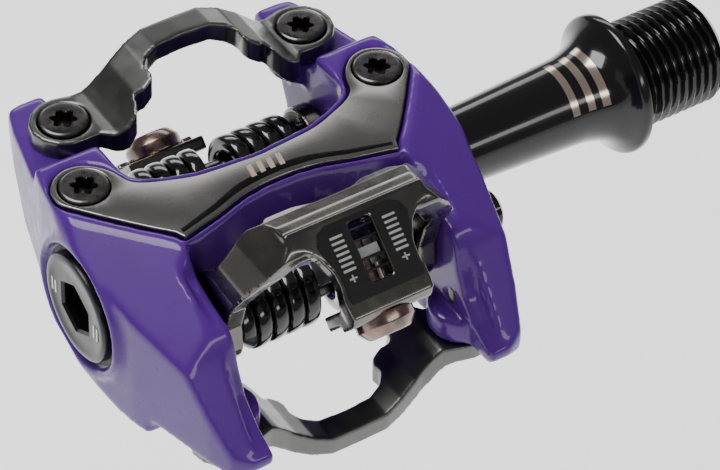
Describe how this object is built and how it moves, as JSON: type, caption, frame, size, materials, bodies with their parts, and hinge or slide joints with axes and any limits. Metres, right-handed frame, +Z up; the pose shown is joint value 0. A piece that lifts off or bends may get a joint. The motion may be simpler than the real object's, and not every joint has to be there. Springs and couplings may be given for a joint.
{
  "type": "clipless bicycle pedal",
  "caption": "Two-sided clipless bicycle pedal with sprung claws, wear plates, adjustable release tension and a threaded spindle on bearings",
  "frame": {"origin": "centre of the spindle's crank contact face, on the spindle axis", "axes": "+X out along the crank thread, +Y towards the top side's fixed front claw, +Z up out of the top wear plate"},
  "size_m": [0.0927, 0.0606, 0.0382],
  "materials": {
    "spindle_black": "gloss black oxide",
    "zinc_steel": "zinc plated",
    "purple_paint": "gloss purple clear coat over cast aluminium",
    "cap_grey": "satin dark grey anodised",
    "bush_polymer": "plain bearing polymer",
    "seal_rubber": "matt",
    "bearing_steel": "ground and polished",
    "plate_grey": "polished dark grey",
    "screw_steel": "black, slightly iridescent",
    "claw_black": "black satin",
    "claw_steel": "polished dark steel",
    "spring_black": "gloss black",
    "bolt_copper": "dark steel with a copper tint"
  },
  "bodies": {
    "spindle": {"spindle": "spindle_black", "spindle_nut": "zinc_steel", "nut_washer": "zinc_steel", "outer_bearing_inner_ring": "bearing_steel", "centre_bearing_inner_ring": "bearing_steel"},
    "pedal_body": {"pedal_body": "purple_paint", "end_cap": "cap_grey", "inboard_bush": "bush_polymer", "inboard_seal": "seal_rubber", "outer_bearing_outer_ring": "bearing_steel", "outer_bearing_shields": "seal_rubber", "centre_bearing_outer_ring": "bearing_steel", "centre_bearing_shields": "seal_rubber", "top_wear_plate": "plate_grey", "top_plate_screws": "screw_steel", "top_front_claw": "claw_black", "top_claw_screws": "screw_steel", "top_pivot_pin": "spindle_black", "top_springs": "spring_black", "bottom_wear_plate": "plate_grey", "bottom_plate_screws": "screw_steel", "bottom_front_claw": "claw_black", "bottom_claw_screws": "screw_steel", "bottom_pivot_pin": "spindle_black", "bottom_springs": "spring_black"},
    "outer_balls": {"outer_bearing_balls": "bearing_steel"},
    "centre_balls": {"centre_bearing_balls": "bearing_steel"},
    "top_rear_claw": {"top_rear_claw": "claw_steel"},
    "top_tension_bolt": {"top_tension_bolt": "bolt_copper"},
    "top_tension_nut": {"top_tension_nut": "zinc_steel"},
    "bottom_rear_claw": {"bottom_rear_claw": "claw_steel"},
    "bottom_tension_bolt": {"bottom_tension_bolt": "bolt_copper"},
    "bottom_tension_nut": {"bottom_tension_nut": "zinc_steel"}
  },
  "joints": [
    {"name": "pedal_spin", "type": "hinge", "parent": "spindle", "child": "pedal_body", "pos_m": [-0.0525, 0, 0], "axis": [1, 0, 0], "continuous": true},
    {"name": "outer_ball_orbit", "type": "hinge", "parent": "spindle", "child": "outer_balls", "pos_m": [-0.071, 0, 0], "axis": [1, 0, 0], "continuous": true},
    {"name": "centre_ball_orbit", "type": "hinge", "parent": "spindle", "child": "centre_balls", "pos_m": [-0.05425, 0, 0], "axis": [1, 0, 0], "continuous": true},
    {"name": "top_claw_swing", "type": "hinge", "parent": "pedal_body", "child": "top_rear_claw", "pos_m": [-0.0525, -0.0115, 0], "axis": [1, 0, 0], "range_deg": [0, 14], "stiffness_Nm_per_rad": 3, "springref_deg": -20.05},
    {"name": "top_tension_turn", "type": "hinge", "parent": "top_rear_claw", "child": "top_tension_bolt", "pos_m": [-0.0525, -0.02571, 0.00775], "axis": [0, 0.766, 0.6428], "range_deg": [-365, 725]},
    {"name": "top_tension_travel", "type": "slide", "parent": "top_rear_claw", "child": "top_tension_nut", "axis": [0, 0.766, 0.6428], "range_m": [-0.0014, 0.0007]},
    {"name": "bottom_claw_swing", "type": "hinge", "parent": "pedal_body", "child": "bottom_rear_claw", "pos_m": [-0.0525, 0.0115, 0], "axis": [1, 0, 0], "range_deg": [0, 14], "stiffness_Nm_per_rad": 3, "springref_deg": -20.05},
    {"name": "bottom_tension_turn", "type": "hinge", "parent": "bottom_rear_claw", "child": "bottom_tension_bolt", "pos_m": [-0.0525, 0.02571, -0.00775], "axis": [0, -0.766, -0.6428], "range_deg": [-365, 725]},
    {"name": "bottom_tension_travel", "type": "slide", "parent": "bottom_rear_claw", "child": "bottom_tension_nut", "axis": [0, -0.766, -0.6428], "range_m": [-0.0014, 0.0007]}
  ],
  "couplings": [
    {"joint": "outer_ball_orbit", "follows": "pedal_spin", "ratio": 0.589},
    {"joint": "centre_ball_orbit", "follows": "pedal_spin", "ratio": 0.58},
    {"joint": "top_tension_turn", "follows": "top_tension_travel", "rad_per_m": -8976},
    {"joint": "bottom_tension_turn", "follows": "bottom_tension_travel", "rad_per_m": -8976}
  ]
}
